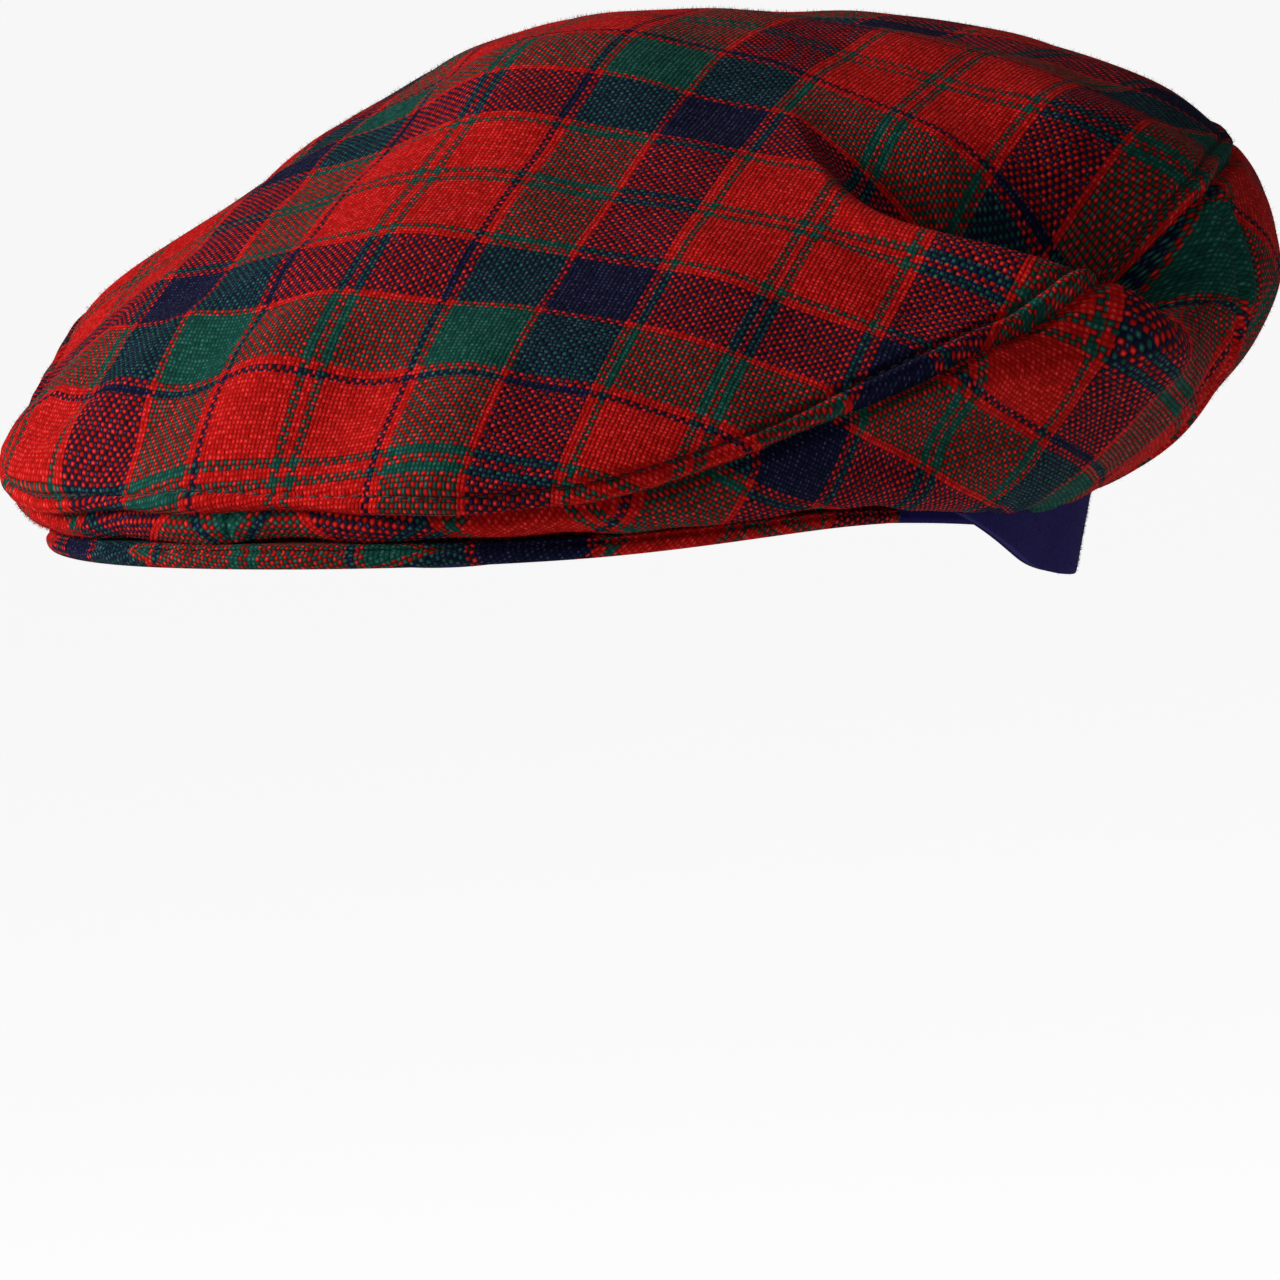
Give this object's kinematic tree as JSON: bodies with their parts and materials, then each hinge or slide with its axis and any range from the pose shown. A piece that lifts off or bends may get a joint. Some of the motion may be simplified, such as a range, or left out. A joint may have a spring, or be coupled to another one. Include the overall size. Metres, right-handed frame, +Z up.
{
  "type": "flat cap",
  "caption": "Soft one-piece-top flat cap in tartan twill with a stiff peak, side and back panels, and a felt ear flap folded down round the back of the head.",
  "frame": {"origin": "middle of the head opening, level with the rim over the ears", "axes": "+Z up through the crown, -Y the way the wearer faces, +X to the wearer's left"},
  "size_m": [0.2254, 0.2722, 0.1105],
  "materials": {
    "tartan_twill": "woven wool twill in red, green and navy checks, matt",
    "navy_felt": "navy wool felt with a short nap, matt"
  },
  "bodies": {
    "root": {"top_panel": "tartan_twill", "side_panel_left": "tartan_twill", "side_panel_right": "tartan_twill", "back_panel": "tartan_twill", "peak": "tartan_twill", "ear_flap": "navy_felt"}
  },
  "joints": []
}
